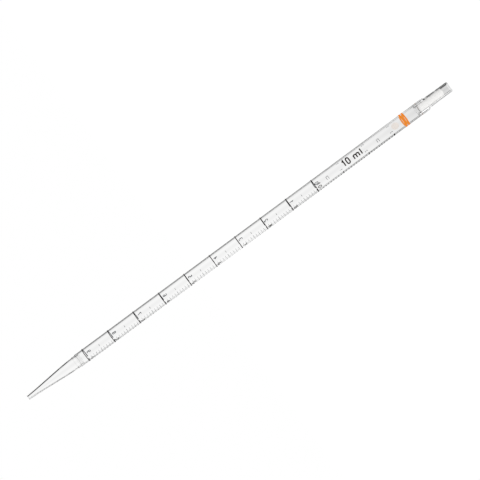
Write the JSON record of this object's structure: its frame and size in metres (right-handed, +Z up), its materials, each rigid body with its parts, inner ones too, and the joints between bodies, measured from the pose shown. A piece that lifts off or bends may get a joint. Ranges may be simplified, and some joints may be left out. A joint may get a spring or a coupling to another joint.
{
  "type": "graduated serological pipette",
  "caption": "Clear disposable plastic pipette with a tapered tip, printed volume scale, orange colour code and a plugged mouthpiece.",
  "frame": {"origin": "centre of the tip's orifice face, on the axis", "axes": "+Z up the axis from the tip to the mouth end; -Y faces the front, where the capacity label is"},
  "size_m": [0.0096, 0.0096, 0.345],
  "materials": {
    "clear_polystyrene": "polished",
    "filter_fibre": "matte",
    "black_ink": "satin",
    "orange_ink": "satin",
    "pale_ink": "satin"
  },
  "bodies": {
    "pipette": {"barrel": "clear_polystyrene", "tip": "clear_polystyrene", "mouthpiece": "clear_polystyrene", "graduation_rings": "black_ink", "half_millilitre_marks": "black_ink", "tenth_millilitre_marks": "black_ink", "overflow_marks": "black_ink", "overflow_figures": "black_ink", "ascending_figures": "black_ink", "descending_figures": "black_ink", "ten_figures": "black_ink", "capacity_label": "black_ink", "colour_band": "orange_ink", "marking_spot": "pale_ink"},
    "filter": {"filter_plug": "filter_fibre"}
  },
  "joints": [
    {"name": "plug_withdrawal", "type": "slide", "parent": "pipette", "child": "filter", "axis": [0, 0, 1], "range_m": [0, 0.028]}
  ]
}
